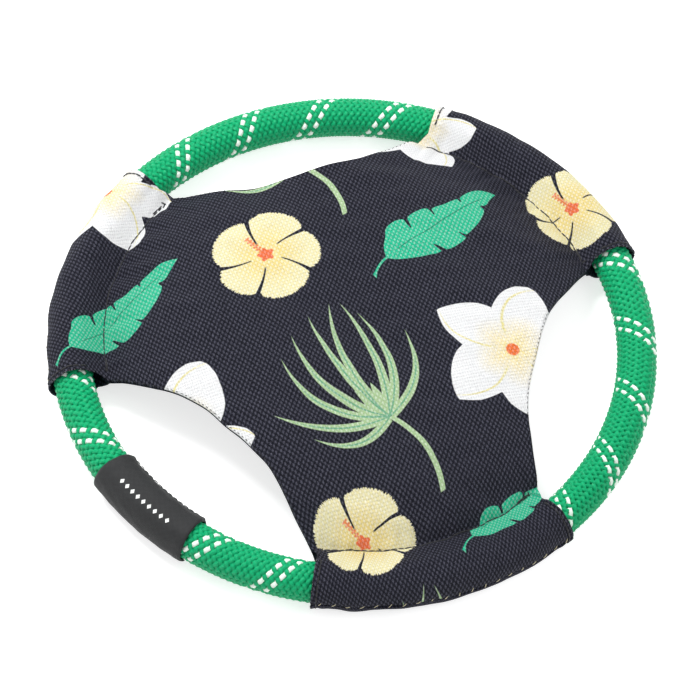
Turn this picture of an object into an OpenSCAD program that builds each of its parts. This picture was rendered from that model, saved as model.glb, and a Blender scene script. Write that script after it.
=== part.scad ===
// A soft flying ring: a hoop of braided rope, and a domed panel of two cloth
// layers whose three arms wrap round the rope as sewn casings.
// The origin is at the ring's centre, on the surface it rests on, with +Z up.

/* [Rope ring] */
// Radius of the ring, from its centre to the middle of the rope
ring_r = 112; // [92:1:136]
// Diameter of the braided rope
rope_d = 16; // [13:0.5:20]
// Thickness of the braided cover round the core
cover_wall = 1.4; // [0.8:0.1:2]
// Gap between the rope's two cut ends
end_gap = 0.6; // [0.3:0.1:1.5]

/* [Rope joint] */
// Length of the tape that is wound over the two ends
wrap_length = 26; // [16:1:32]
// Thickness of the wound tape
wrap_wall = 0.2; // [0.1:0.05:0.4]
// Length of the label sleeve along the rope
sleeve_length = 44; // [36:1:56]
// Thickness of the label sleeve
sleeve_wall = 0.75; // [0.5:0.05:1.2]
// How far the sleeve sits from the middle of its window, in degrees
sleeve_offset = -1.5; // [-6:0.5:6]

/* [Casings] */
// Thickness of one layer of cloth
cloth_t = 0.9; // [0.6:0.05:1.2]
// Angle of rope that each casing covers, in degrees
casing_angle = 54.4; // [44:0.2:66]
// Clearance all round between the rope and its casing
casing_clearance = 0.35; // [0.3:0.05:0.8]
// Width of the flat strip between a casing's tube and its inner seam
seam_strip = 4.2; // [2:0.2:8]
// Height of the inner seam above the middle of the rope
seam_rise = 2.4; // [0:0.2:4]
// How far the underside of each casing is pressed flat where it rests
rest_flat = 0.25; // [0.1:0.05:0.4]

/* [Panel] */
// Height of the panel's middle above the middle of the rope
dome_rise = 22.5; // [14:0.5:30]
// Flatness of the dome's middle, where a higher number is flatter
dome_power = 4; // [2:1:6]
// Clear gap between the rope and the panel, across the middle of a window
window_gap = 32; // [22:1:40]
// Roundness of a window's edge, where a lower number turns up later
window_roundness = 0.35; // [0.2:0.05:0.6]

/* [Thread] */
// Thickness of the sewing thread
thread_d = 0.5; // [0.3:0.05:0.8]
// Distance of the stitches from the cut edge along each window
edge_inset = 1.2; // [0.8:0.1:3]
// Distance of the stitches from the mouth of each casing
mouth_inset = 1.8; // [1:0.1:4]

/* [Hidden] */
$fn = 96;

// Clearance between pieces that lie on each other without being one
lay_gap = 0.1;
// Clearance between the rope's core and its cover
core_gap = 0.15;
// How far a thread's middle stands over a fold, in thread radii
fold_lift = 1.3;
// Flat stitches are this share of a thread thick
pressed = 0.7;
// How far each layer of the dome runs on into the casing's wall, to be one cloth with it
tuck = 0.3;
// How deep a casing's flat sides run into its round, to be one cloth with it
bite = 0.04;
// Straight pieces in the dome's outline, and in one window's edge
dome_steps = 10;
window_steps = 20;

// Directions of the three arms and of the windows between them
front_arm = -90;
right_arm = 30;
left_arm = 150;
back_window = 90;
right_window = -30;
left_window = -150;

rope_r = rope_d / 2;
bore_r = rope_r + casing_clearance;
tube_r = bore_r + cloth_t;
rope_z = tube_r - rest_flat;
seam_r = ring_r - tube_r - seam_strip;
seam_z = rope_z + seam_rise;
window_r = ring_r - rope_r - window_gap;
window_half = (120 - casing_angle) / 2;
mouth_r = ring_r - bore_r;
outside_r = ring_r + tube_r + 10;
over_top = rope_z + dome_rise + 10;
sleeve_at = left_window + sleeve_offset;
// The sleeve's inner and outer radius, over the wound tape
sleeve_bore = rope_r + wrap_wall + 2 * lay_gap;
sleeve_r = sleeve_bore + sleeve_wall;

// Angle in degrees that a length along the rope covers
function rope_angle(length) = length / ring_r * 180 / PI;

// A point at an angle and distance from the middle
function polar(angle, r) = [r * cos(angle), r * sin(angle)];

// Height of the plane between the two cloth layers, at r from the centre
function ply_z(r) = seam_z + (dome_rise - seam_rise) * (1 - pow(r / seam_r, dome_power));

// Distances from the centre that the dome's outline is drawn at, closer near the rim
dome_rs = [for (i = [0:dome_steps]) seam_r * pow(i / dome_steps, 0.7)];

// Distance of a window's edge from the centre, with u from -1 to 1 across it
function window_edge(u) =
  window_r + (mouth_r - window_r) * (window_roundness * u * u + (1 - window_roundness) * pow(u, 4));

// Where a line from the point p would touch a circle of radius r about the origin
function touch(p, r, side) = polar(atan2(p.y, p.x) - side * acos(r / norm(p)), r);

// A band of the dome's outline, between two heights over the layers' plane
module dome_band(low, high) {
  polygon(concat(
    [for (r = dome_rs) [r, ply_z(r) + low]],
    [[seam_r + tuck, seam_z + low], [seam_r + tuck, seam_z + high]],
    [for (i = [dome_steps:-1:0]) [dome_rs[i], ply_z(dome_rs[i]) + high]]
  ));
}

// A tube's outline of radius r, drawn in to points above and below its seam
module drop_outline(r, top_rise, bottom_rise) {
  top_tip = [seam_r - ring_r, top_rise];
  bottom_tip = [seam_r - ring_r, bottom_rise];
  translate([ring_r, rope_z]) {
    circle(r);
    polygon([
      bottom_tip, touch(bottom_tip, r - bite, -1), [0, 0], touch(top_tip, r - bite, 1), top_tip
    ]);
  }
}

// The cloth wall of a casing, all round
module casing_wall() {
  ply = lay_gap / 2 + cloth_t;
  difference() {
    drop_outline(tube_r, seam_rise + ply, seam_rise - ply);
    drop_outline(bore_r, seam_rise, seam_rise);
  }
}

// The half of a casing's outline on one side of the line where the layers meet
module casing_side(side, limit) {
  split = side * lay_gap / 2;
  outline = [
    [seam_r, seam_z + split],
    [ring_r, rope_z + split],
    [outside_r, rope_z + split],
    [outside_r, limit],
    [seam_r, limit]
  ];
  polygon(side > 0 ? outline : [for (i = [4:-1:0]) outline[i]]);
}

// The space of one window, over the full height
module window_space(direction) {
  edge = [
    for (i = [0:window_steps])
      let (u = 1 - 2 * i / window_steps)
      polar(direction + u * window_half, window_edge(u))
  ];
  corner_r = outside_r / cos(window_half);
  corners = [polar(direction - window_half, corner_r), polar(direction + window_half, corner_r)];
  translate([0, 0, -1])
    linear_extrude(over_top + 1)
      polygon(concat(edge, corners));
}

module all_windows() {
  for (direction = [back_window, right_window, left_window]) window_space(direction);
}

// A length of the rope's round outline, bent to the ring and centred on an angle
module rope_arc(direction, angle, inner_r, outer_r) {
  rotate([0, 0, direction - angle / 2])
    rotate_extrude(angle = angle)
      translate([ring_r, rope_z])
        difference() {
          circle(outer_r);
          if (inner_r > 0) circle(inner_r);
        }
}

module rope_core() {
  color("whitesmoke")
    rope_arc(sleeve_at + 180, 360 - rope_angle(end_gap), 0, rope_r - cover_wall - core_gap);
}

module rope_cover() {
  color("mediumseagreen")
    rope_arc(sleeve_at + 180, 360 - rope_angle(end_gap), rope_r - cover_wall, rope_r);
}

module joint_wrap() {
  inner = rope_r + lay_gap;
  color("dimgray")
    rope_arc(sleeve_at, rope_angle(wrap_length), inner, inner + wrap_wall);
}

module label_sleeve() {
  color("black")
    rope_arc(sleeve_at, rope_angle(sleeve_length), sleeve_bore, sleeve_r);
}

// The line of stitches that closes the sleeve, high on its inner side
module label_seam() {
  height_angle = 150;
  angle = rope_angle(sleeve_length - 2 * edge_inset);
  offset_rz = polar(height_angle, sleeve_r + thread_d / 2 + lay_gap);
  color("dimgray")
    rotate([0, 0, sleeve_at - angle / 2])
      rotate_extrude(angle = angle)
        translate([ring_r, rope_z] + offset_rz)
          circle(thread_d / 2);
}

module top_panel() {
  color("midnightblue")
    difference() {
      rotate_extrude()
        union() {
          dome_band(lay_gap / 2, lay_gap / 2 + cloth_t);
          intersection() {
            casing_wall();
            casing_side(1, over_top);
          }
        }
      all_windows();
    }
}

module bottom_panel() {
  color("darkslateblue")
    difference() {
      rotate_extrude()
        union() {
          dome_band(-lay_gap / 2 - cloth_t, -lay_gap / 2);
          intersection() {
            casing_wall();
            casing_side(-1, 0);
          }
        }
      all_windows();
    }
}

// A thread along an arm, at a distance and height, which stops short of the mouths' stitches
module arm_thread(arm, r, z) {
  angle = casing_angle - 2 * rope_angle(mouth_inset + 1.5 * thread_d);
  rotate([0, 0, arm - angle / 2])
    rotate_extrude(angle = angle)
      translate([r, z])
        circle(thread_d / 2);
}

// The top stitches that hold the two layers together beside the rope
module casing_seam(arm) {
  color("black")
    arm_thread(arm, seam_r, seam_z + lay_gap * 1.5 + cloth_t + fold_lift * thread_d / 2);
}

// The stitches that close the casing along its outer edge
module closing_seam(arm) {
  color("ivory")
    arm_thread(arm, ring_r + tube_r + lay_gap + thread_d / 2, rope_z);
}

// The stitches along the cut edge of one window, laid on the top layer
module window_seam(direction) {
  // They end where the edge comes up to the casing seams
  reach = 0.9;
  low = lay_gap * 1.5 + cloth_t;
  outer = [
    for (i = [0:window_steps])
      let (u = reach * (2 * i / window_steps - 1))
      polar(direction + u * window_half, window_edge(u) - edge_inset)
  ];
  inner = [
    for (i = [window_steps:-1:0])
      let (u = reach * (2 * i / window_steps - 1))
      polar(direction + u * window_half, window_edge(u) - edge_inset - thread_d)
  ];
  color("black")
    intersection() {
      rotate_extrude()
        dome_band(low, low + pressed * thread_d);
      linear_extrude(over_top)
        polygon(concat(outer, inner));
    }
}

// The stitches across an arm beside one mouth, from the outer edge over the top
module mouth_seam(arm, side) {
  low_angle = -15;
  high_angle = 112;
  inner = tube_r + lay_gap;
  far = 2 * tube_r;
  width = rope_angle(thread_d);
  start = side * (casing_angle / 2 - rope_angle(mouth_inset)) - width / 2;
  color("black")
    rotate([0, 0, arm + start])
      rotate_extrude(angle = width)
        translate([ring_r, rope_z])
          intersection() {
            difference() {
              circle(inner + pressed * thread_d);
              circle(inner);
            }
            polygon([
              [0, 0], polar(low_angle, far), polar((low_angle + high_angle) / 2, far),
              polar(high_angle, far)
            ]);
          }
}

module casing_seam_front() { casing_seam(front_arm); }
module casing_seam_right() { casing_seam(right_arm); }
module casing_seam_left() { casing_seam(left_arm); }
module window_seam_back() { window_seam(back_window); }
module window_seam_right() { window_seam(right_window); }
module window_seam_left() { window_seam(left_window); }
module closing_seam_front() { closing_seam(front_arm); }
module closing_seam_right() { closing_seam(right_arm); }
module closing_seam_left() { closing_seam(left_arm); }
module mouth_seam_front_left() { mouth_seam(front_arm, -1); }
module mouth_seam_front_right() { mouth_seam(front_arm, 1); }
module mouth_seam_right_front() { mouth_seam(right_arm, -1); }
module mouth_seam_right_back() { mouth_seam(right_arm, 1); }
module mouth_seam_left_back() { mouth_seam(left_arm, -1); }
module mouth_seam_left_front() { mouth_seam(left_arm, 1); }

rope_core();
rope_cover();
joint_wrap();
label_sleeve();
label_seam();
top_panel();
bottom_panel();
casing_seam_front();
casing_seam_right();
casing_seam_left();
window_seam_back();
window_seam_right();
window_seam_left();
closing_seam_front();
closing_seam_right();
closing_seam_left();
mouth_seam_front_left();
mouth_seam_front_right();
mouth_seam_right_front();
mouth_seam_right_back();
mouth_seam_left_front();
mouth_seam_left_back();
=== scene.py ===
import math

import bpy
import numpy as np
from mathutils import Matrix, Vector
from mathutils.geometry import delaunay_2d_cdt


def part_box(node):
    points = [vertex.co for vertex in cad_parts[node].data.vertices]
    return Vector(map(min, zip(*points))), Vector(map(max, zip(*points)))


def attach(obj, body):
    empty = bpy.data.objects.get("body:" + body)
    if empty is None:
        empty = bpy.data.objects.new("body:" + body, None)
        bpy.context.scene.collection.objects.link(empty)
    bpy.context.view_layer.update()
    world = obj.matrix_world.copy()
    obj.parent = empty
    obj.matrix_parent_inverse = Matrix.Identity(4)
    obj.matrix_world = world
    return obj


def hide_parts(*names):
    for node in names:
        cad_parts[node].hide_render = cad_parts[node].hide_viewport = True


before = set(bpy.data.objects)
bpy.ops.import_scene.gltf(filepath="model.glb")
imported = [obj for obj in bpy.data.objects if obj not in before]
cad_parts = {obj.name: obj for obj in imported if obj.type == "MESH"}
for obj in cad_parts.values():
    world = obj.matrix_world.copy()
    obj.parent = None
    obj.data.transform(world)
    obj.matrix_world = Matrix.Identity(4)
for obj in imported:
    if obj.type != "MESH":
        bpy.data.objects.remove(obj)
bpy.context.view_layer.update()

# Camera: a long lens that looks down on the ring from in front and a little to its left, and is
# tipped slightly to one side.
scene = bpy.context.scene
scene.view_settings.view_transform = "Standard"
look_at = Vector((-0.0031, -0.0040, 0.0090))
toward = math.radians(-110.2)
height = math.radians(55.77)
roll = math.radians(3.8)
camera_distance = 1.3
back = Vector((
    math.cos(toward) * math.cos(height),
    math.sin(toward) * math.cos(height),
    math.sin(height),
))
level = Vector((-math.sin(toward), math.cos(toward), 0))
upward = back.cross(level)
across = level * math.cos(roll) + upward * math.sin(roll)
above = upward * math.cos(roll) - level * math.sin(roll)
camera = bpy.data.objects.new("camera", bpy.data.cameras.new("camera"))
camera.data.lens = 169.26
camera.data.sensor_width = 36
camera.data.clip_end = 20
turned = Matrix((across, above, back)).transposed().to_4x4()
camera.matrix_world = Matrix.Translation(look_at + back * camera_distance) @ turned
scene.collection.objects.link(camera)
scene.camera = camera

# Studio: a wide matt white floor, a soft white room, and two large soft lights, the brighter one
# behind and above the ring.
world = bpy.data.worlds.new("studio")
scene.world = world
world.use_nodes = True
world.node_tree.nodes["Background"].inputs["Color"].default_value = (1, 1, 1, 1)
world.node_tree.nodes["Background"].inputs["Strength"].default_value = 0.72


def soft_light(name, place, size, power):
    lamp = bpy.data.objects.new(name, bpy.data.lights.new(name, "AREA"))
    lamp.data.size = size
    lamp.data.energy = power
    lamp.location = place
    lamp.rotation_euler = (Vector(place) * -1).to_track_quat("-Z", "Y").to_euler()
    scene.collection.objects.link(lamp)


soft_light("window_light", (-0.35, 0.75, 1.25), 0.6, 27)
soft_light("fill_light", (0.9, -0.7, 1.2), 1.0, 8)


def material_named(name):
    """A new material, its node tree and its Principled shader."""
    material = bpy.data.materials.new(name)
    material.use_nodes = True
    return material, material.node_tree, material.node_tree.nodes["Principled BSDF"]


def new_piece(name, points, faces, material, smooth=True):
    mesh = bpy.data.meshes.new(name)
    mesh.from_pydata([tuple(p) for p in points], [], faces)
    mesh.materials.append(material)
    if smooth:
        mesh.shade_smooth()
    piece = bpy.data.objects.new(name, mesh)
    scene.collection.objects.link(piece)
    return piece


floor_paint, floor_tree, floor_shader = material_named("floor_paint")
floor_shader.inputs["Base Color"].default_value = (0.6, 0.6, 0.6, 1)
floor_shader.inputs["Emission Color"].default_value = (1, 1, 1, 1)
floor_shader.inputs["Emission Strength"].default_value = 0.68
floor_shader.inputs["Roughness"].default_value = 0.9
floor_shader.inputs["Specular IOR Level"].default_value = 0.0
wide = 6.0
floor_corners = [(-wide, -wide, 0), (wide, -wide, 0), (wide, wide, 0), (-wide, wide, 0)]
new_piece("floor", floor_corners, [(0, 1, 2, 3)], floor_paint, smooth=False)


# Rope: a braided polyester cover of twenty-four strands, twelve wound each way, each going over
# one and under the next, round a white fibre core. Two strands that wind the same way are white.
class Wire:
    """The end of a wire in a node tree, which sums and products are made from."""

    def __init__(self, tree, socket):
        self.tree = tree
        self.socket = socket

    def math(self, operation, *others):
        return join(self.tree, "ShaderNodeMath", self, *others, operation=operation)

    def vector(self, operation, *others):
        return join(self.tree, "ShaderNodeVectorMath", self, *others, operation=operation)

    def __add__(self, other):
        return self.math("ADD", other)

    def __sub__(self, other):
        return self.math("SUBTRACT", other)

    def __rsub__(self, other):
        return join(self.tree, "ShaderNodeMath", other, self, operation="SUBTRACT")

    def __mul__(self, other):
        return self.math("MULTIPLY", other)

    def __truediv__(self, other):
        return self.math("DIVIDE", other)

    def __abs__(self):
        return self.math("ABSOLUTE")

    __radd__ = __add__
    __rmul__ = __mul__

    def part(self, axis):
        """The X, Y or Z of this Separate XYZ node."""
        return Wire(self.tree, self.socket.node.outputs[axis])

    def over(self, limit, soft):
        """1 where this is over a limit and 0 where it is under, with a soft change between."""
        step = join(self.tree, "ShaderNodeMapRange", self)
        step_node = step.socket.node
        half = soft / 2
        for key, end in (("From Min", -half), ("From Max", half)):
            if isinstance(limit, Wire):
                self.tree.links.new((limit + end).socket, step_node.inputs[key])
            else:
                step_node.inputs[key].default_value = limit + end
        return step


def join(tree, kind, *values, output=0, **settings):
    """Adds a node, sets or wires its live inputs in order, and returns one of its outputs."""
    node = tree.nodes.new(kind)
    for key, value in settings.items():
        setattr(node, key, value)
    live = [socket for socket in node.inputs if socket.enabled]
    for socket, value in zip(live, values):
        if isinstance(value, Wire):
            tree.links.new(value.socket, socket)
        elif value is not None:
            socket.default_value = value
    outputs = [socket for socket in node.outputs if socket.enabled]
    return Wire(tree, outputs[output])


def curve_through(tree, value, points, handle="VECTOR"):
    """A Float Curve node through points from (0, ...) to (1, ...)."""
    wire = join(tree, "ShaderNodeFloatCurve", 1.0, value)
    line = wire.socket.node.mapping.curves[0]
    line.points[0].location = points[0]
    line.points[1].location = points[-1]
    for x, y in points[1:-1]:
        line.points.new(x, y)
    for point in line.points:
        point.handle_type = handle
    wire.socket.node.mapping.update()
    return wire


def geometry_tree(name, inputs):
    """An empty Geometry Nodes tree with named inputs, and a lookup of those inputs."""
    tree = bpy.data.node_groups.new(name, "GeometryNodeTree")
    tree.interface.new_socket("Geometry", in_out="INPUT", socket_type="NodeSocketGeometry")
    for label, kind in inputs:
        tree.interface.new_socket(label, in_out="INPUT", socket_type="NodeSocket" + kind)
    tree.interface.new_socket("Geometry", in_out="OUTPUT", socket_type="NodeSocketGeometry")
    entry = tree.nodes.new("NodeGroupInput")
    return tree, {socket.name: Wire(tree, socket) for socket in entry.outputs}


def finish_tree(tree, geometry, material):
    """Ends a tree in Realize Instances and Set Material."""
    real = join(tree, "GeometryNodeRealizeInstances", geometry)
    dressed = join(tree, "GeometryNodeSetMaterial", real, True, material)
    tree.links.new(dressed.socket, tree.nodes.new("NodeGroupOutput").inputs[0])


def run_tree(piece, tree, values):
    """Runs a tree on a piece, keeps the mesh that it makes, and takes the modifier off."""
    modifier = piece.modifiers.new("build", "NODES")
    modifier.node_group = tree
    sockets = {s.name: s.identifier for s in tree.interface.items_tree if s.in_out == "INPUT"}
    for label, value in values.items():
        modifier[sockets[label]] = value
    bpy.context.view_layer.update()
    shown = piece.evaluated_get(bpy.context.evaluated_depsgraph_get())
    mesh = bpy.data.meshes.new_from_object(shown)
    piece.modifiers.remove(modifier)
    piece.data = mesh
    return piece


rope_low, rope_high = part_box("rope_cover")
rope_r = (rope_high[2] - rope_low[2]) / 2
rope_z = (rope_high[2] + rope_low[2]) / 2
ring_r = (rope_high[0] - rope_low[0]) / 2 - rope_r
joint_at = math.radians(-151.5)
end_gap = 0.0006 / ring_r
carriers = 12
turns = 23

braid, into = geometry_tree("braid_strands", [
    ("Ring Radius", "Float"), ("Rope Height", "Float"), ("Braid Radius", "Float"),
    ("Strand Width", "Float"), ("Strand Thickness", "Float"), ("Wave", "Float"),
    ("Turns", "Float"), ("Carriers", "Int"), ("Hand", "Float"), ("Start", "Float"),
    ("Sweep", "Float"), ("Joint", "Float"), ("Steps", "Int"), ("Material", "Material"),
])
line = join(braid, "GeometryNodeCurvePrimitiveLine", (0, 0, 0), (1, 0, 0))
line = join(braid, "GeometryNodeResampleCurve", line, True, into["Steps"])
copies = join(braid, "GeometryNodeDuplicateElements", line, True, into["Carriers"], domain="SPLINE")
which = Wire(braid, copies.socket.node.outputs["Duplicate Index"])
share = join(braid, "GeometryNodeSplineParameter")
angle = into["Start"] + into["Sweep"] * share
travel = (angle - into["Joint"]) / math.tau
# The strands gain and lose a little of a turn on the way round, as in a hand-laid ring
drift_low, drift_span = -60, 180
drift_at = [
    (0, -32), (14, -24), (30, -14), (91, 76), (104, 90), (120, 89), (136, 88), (154, 43),
    (218, 48), (234, 43), (249, 43), (265, 36), (328, 36), (342, 25), (360, 18),
]
drift = curve_through(
    braid, travel, [(s / 360, (d - drift_low) / drift_span) for s, d in drift_at], "AUTO_CLAMPED"
)
drift = (drift * drift_span + drift_low) * math.radians(1)
wound = into["Turns"] * angle + drift
place = (which - 1) * math.tau / into["Carriers"]
around = into["Hand"] * wound + place
weaving = (into["Carriers"] * wound).math("COSINE")
sharper = weaving * abs(weaving).math("POWER", 1.3)
lift = into["Hand"] * into["Wave"] * sharper
radius = into["Braid Radius"] + lift
out = around.math("COSINE")
up = around.math("SINE")
reach = into["Ring Radius"] + radius * out
cos_angle = angle.math("COSINE")
sin_angle = angle.math("SINE")
spot = join(braid, "ShaderNodeCombineXYZ", reach * cos_angle, reach * sin_angle,
            into["Rope Height"] + radius * up)
facing = join(braid, "ShaderNodeCombineXYZ", out * cos_angle, out * sin_angle, up)
strands = join(braid, "GeometryNodeSetPosition", copies, True, spot)
strands = join(braid, "GeometryNodeSetCurveNormal", strands, True, facing, mode="FREE")
from_middle = abs(which - 1)
tracer = from_middle.over(0.5, 0.1) * (1.5 - from_middle).over(0.0, 0.1) * into["Hand"].over(0, 0.1)
strands = join(braid, "GeometryNodeStoreNamedAttribute", strands, True, "tracer", tracer,
               data_type="FLOAT", domain="POINT")
strands = join(braid, "GeometryNodeStoreNamedAttribute", strands, True, "along",
               angle * into["Ring Radius"] * 2, data_type="FLOAT", domain="POINT")
ribbon = join(braid, "GeometryNodeCurvePrimitiveCircle", 6, 1.0)
ribbon_size = join(braid, "ShaderNodeCombineXYZ", into["Strand Thickness"] * 0.577,
                   into["Strand Width"] * 0.5, 1.0)
ribbon = join(braid, "GeometryNodeTransform", ribbon, None, None, ribbon_size)
flat_spot = join(braid, "GeometryNodeInputPosition")
ribbon_y = join(braid, "ShaderNodeSeparateXYZ", flat_spot, output=1)
ribbon = join(braid, "GeometryNodeStoreNamedAttribute", ribbon, True, "across", ribbon_y,
              data_type="FLOAT", domain="POINT")
tubes = join(braid, "GeometryNodeCurveToMesh", strands, ribbon, 1.0, True)
tubes = join(braid, "GeometryNodeSetShadeSmooth", tubes, True, True)
finish_tree(braid, tubes, into["Material"])


def srgb(red, green, blue):
    """A colour from 0 to 255 in each channel, as the shader wants it."""
    shares = (red, green, blue)
    linear = [((c / 255 + 0.055) / 1.055) ** 2.4 if c > 10 else c / 3294 for c in shares]
    return (*linear, 1)


def attribute(tree, name, output=2):
    """One of an Attribute node's outputs: 0 is its colour, 1 its vector and 2 its number."""
    return join(tree, "ShaderNodeAttribute", attribute_name=name, output=output)


def mix(tree, share, first, second):
    return join(tree, "ShaderNodeMix", share, first, second, data_type="RGBA")


def bump(tree, shader, height, distance):
    node = tree.nodes.new("ShaderNodeBump")
    node.inputs["Distance"].default_value = distance
    node.inputs["Strength"].default_value = 1.0
    tree.links.new(height.socket, node.inputs["Height"])
    tree.links.new(node.outputs["Normal"], shader.inputs["Normal"])


def object_grain(tree, scale, detail):
    """Where a point is on its piece, and fine noise there."""
    at = join(tree, "ShaderNodeTexCoord", output=3)
    return at, join(tree, "ShaderNodeTexNoise", at, None, scale, detail)


def paint(tree, shader, colour, height, distance, roughness):
    """Wires a material's colour and bump, and sets how rough it is."""
    tree.links.new(colour.socket, shader.inputs["Base Color"])
    shader.inputs["Roughness"].default_value = roughness
    bump(tree, shader, height, distance)


yarn, yarn_tree, yarn_shader = material_named("braid_yarn")
along = attribute(yarn_tree, "along")
side = attribute(yarn_tree, "across")
grain_at = join(yarn_tree, "ShaderNodeCombineXYZ", along * 260, side * 5200, 0.0)
grain = join(yarn_tree, "ShaderNodeTexNoise", grain_at, None, 1.0, 2.0)
filament = (side * 26000 + grain * 5).math("SINE") * 0.5 + 0.5
_, shade = object_grain(yarn_tree, 260.0, 2.0)
green = mix(yarn_tree, shade, srgb(0, 114, 70), srgb(0, 170, 108))
green = mix(yarn_tree, filament * 0.3, green, srgb(4, 206, 142))
white = mix(yarn_tree, grain, srgb(196, 224, 205), srgb(250, 252, 248))
yarn_colour = mix(yarn_tree, attribute(yarn_tree, "tracer"), green, white)
yarn_shader.inputs["Specular IOR Level"].default_value = 0.2
paint(yarn_tree, yarn_shader, yarn_colour, filament + grain, 0.00005, 0.38)

sweep = math.tau - end_gap
for half in (0, 1):
    for hand, label in ((1, "right_hand"), (-1, "left_hand")):
        strand = new_piece(f"braid_{label}_{half + 1}", [], [], yarn)
        run_tree(strand, braid, {
            "Ring Radius": ring_r, "Rope Height": rope_z, "Braid Radius": rope_r - 0.00086,
            "Strand Width": 0.00208, "Strand Thickness": 0.00092, "Wave": 0.00040,
            "Turns": float(turns), "Carriers": carriers, "Hand": float(hand),
            "Start": joint_at + end_gap / 2 + half * sweep / 2, "Sweep": sweep / 2,
            "Joint": joint_at, "Steps": 1105, "Material": yarn,
        })
        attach(strand, "rope_ring")
        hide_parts("rope_cover")

# Braid lining: the close inner side of the cover, which shows between the strands. Its very
# dark green is painted shade: the real inner side is the same green as the strands, and the
# gaps stand in shadow. It is one tube round the core, cut at the joint.
lining_shade_paint, lining_tree, lining_shader = material_named("braid_lining_shade")
_, lining_grain = object_grain(lining_tree, 900.0, 3.0)
# Painted shade: very dark green, varied by the grain, for the shadow between the strands
lining_shade_colour = mix(lining_tree, lining_grain, srgb(0, 26, 12), srgb(0, 52, 26))
paint(lining_tree, lining_shader, lining_shade_colour, lining_grain, 0.0001, 0.8)


def hoop_points(angles, radii, sections):
    """Points round the rope, for each angle along it and each section angle round it."""
    a, s = np.meshgrid(angles, sections, indexing="ij")
    reach = ring_r + radii * np.cos(s)
    return np.stack([reach * np.cos(a), reach * np.sin(a), rope_z + radii * np.sin(s)], -1)


def closed_grid_faces(rows, columns):
    """Quads over a grid of rows that each close on themselves."""
    return [
        (i * columns + j, (i + 1) * columns + j, (i + 1) * columns + (j + 1) % columns,
         i * columns + (j + 1) % columns)
        for i in range(rows - 1) for j in range(columns)
    ]


lining_r = 0.0065
lining_rows, lining_columns = 361, 32
lining_angles = np.linspace(joint_at + end_gap / 2, joint_at - end_gap / 2 + math.tau, lining_rows)
lining_sections = np.linspace(0, math.tau, lining_columns, endpoint=False)
lining_points = hoop_points(lining_angles, lining_r, lining_sections).reshape(-1, 3)
lining_faces = closed_grid_faces(lining_rows, lining_columns)
last_ring = (lining_rows - 1) * lining_columns
lining_faces.append(tuple(range(lining_columns)))
lining_faces.append(tuple(range(last_ring + lining_columns - 1, last_ring - 1, -1)))
lining = new_piece("braid_lining_shade", lining_points, lining_faces, lining_shade_paint)
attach(lining, "rope_ring")
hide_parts("rope_cover")

# Core: soft white fibre that fills the cover and keeps the hoop round. It only shows at the two
# cut ends, inside the tape.
fibre, fibre_tree, fibre_shader = material_named("core_fibre")
_, fibre_grain = object_grain(fibre_tree, 1400.0, 4.0)
fibre_colour = mix(fibre_tree, fibre_grain, srgb(206, 204, 196), srgb(250, 249, 245))
paint(fibre_tree, fibre_shader, fibre_colour, fibre_grain, 0.0002, 0.95)
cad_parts["rope_core"].material_slots[0].material = fibre

# Joint tape: thin grey tape wound over the two butted rope ends in overlapping turns, under the
# sleeve.
tape, tape_tree, tape_shader = material_named("joint_tape")
tape_at, tape_grain = object_grain(tape_tree, 700.0, 3.0)
tape_xyz = join(tape_tree, "ShaderNodeSeparateXYZ", tape_at)
tape_y = tape_xyz.part("Y")
tape_z = tape_xyz.part("Z")
turn_edge = ((tape_xyz - tape_y) * 160 + tape_z * 60).math("FRACT")
# Each turn of tape grades from dark at one edge to light at the other: painted shade at the step
# where each turn laps the next, broken up by the grain
tape_shaded_colour = mix(tape_tree, turn_edge * tape_grain, srgb(62, 62, 64), srgb(126, 127, 130))
paint(tape_tree, tape_shader, tape_shaded_colour, turn_edge, 0.0001, 0.5)
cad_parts["joint_wrap"].material_slots[0].material = tape

# Sleeve: one strip of coated black fabric wrapped round the joint, its ends turned under, and
# lapped and stitched shut high on its inner side. A row of plain woven marks runs along it.
sleeve_bore = 0.0084
sleeve_wall = 0.00075
sleeve_reach = 0.022
sleeve_half = sleeve_reach / ring_r
sleeve_rows = 61
sleeve_columns = 144
lap_at = math.radians(150)


def waves(seed, length, count=7):
    """A smooth random height over a plane, about 1 high, with ripples of about one length."""
    rng = np.random.default_rng(seed)
    heading = rng.uniform(0, math.tau, count)
    pitch = length * rng.uniform(0.65, 1.6, count)
    phase = rng.uniform(0, math.tau, count)
    scale = math.sqrt(2 / count)

    def at(x, y):
        total = 0
        for h, p, f in zip(heading, pitch, phase):
            total = total + np.sin((x * math.cos(h) + y * math.sin(h)) / p * math.tau + f)
        return total * scale

    return at


sleeve_t = np.linspace(-1, 1, sleeve_rows)[:, None]
sleeve_s = np.linspace(0, math.tau, sleeve_columns, endpoint=False)[None, :]
end_in = (1 - np.abs(sleeve_t)) * sleeve_reach
turned_end = 0.00016 * np.clip((0.0042 - end_in) / 0.0008, 0, 1)
flats = 0.00013 * np.cos(5 * sleeve_s + 0.6) + 0.00005 * waves(3, 0.9)(sleeve_s * 2, sleeve_t * 3)
past_lap = (sleeve_s - lap_at) % math.tau
lap = 0.00022 * np.exp(-past_lap / 0.5) * (past_lap > 0)
rounding = 0.00035 * np.clip(1 - end_in / 0.0007, 0, 1) ** 2
sleeve_out = sleeve_bore + sleeve_wall + turned_end + flats + lap - rounding + 0 * sleeve_t
sleeve_angles = joint_at + sleeve_t[:, 0] * sleeve_half
sleeve_outer = hoop_points(sleeve_angles, sleeve_out, sleeve_s[0])
sleeve_inner = hoop_points(sleeve_angles[::-1], sleeve_bore, sleeve_s[0])
sleeve_skin = np.concatenate([sleeve_outer, sleeve_inner]).reshape(-1, 3)
sleeve_faces = closed_grid_faces(2 * sleeve_rows, sleeve_columns)
last = (2 * sleeve_rows - 1) * sleeve_columns
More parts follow.
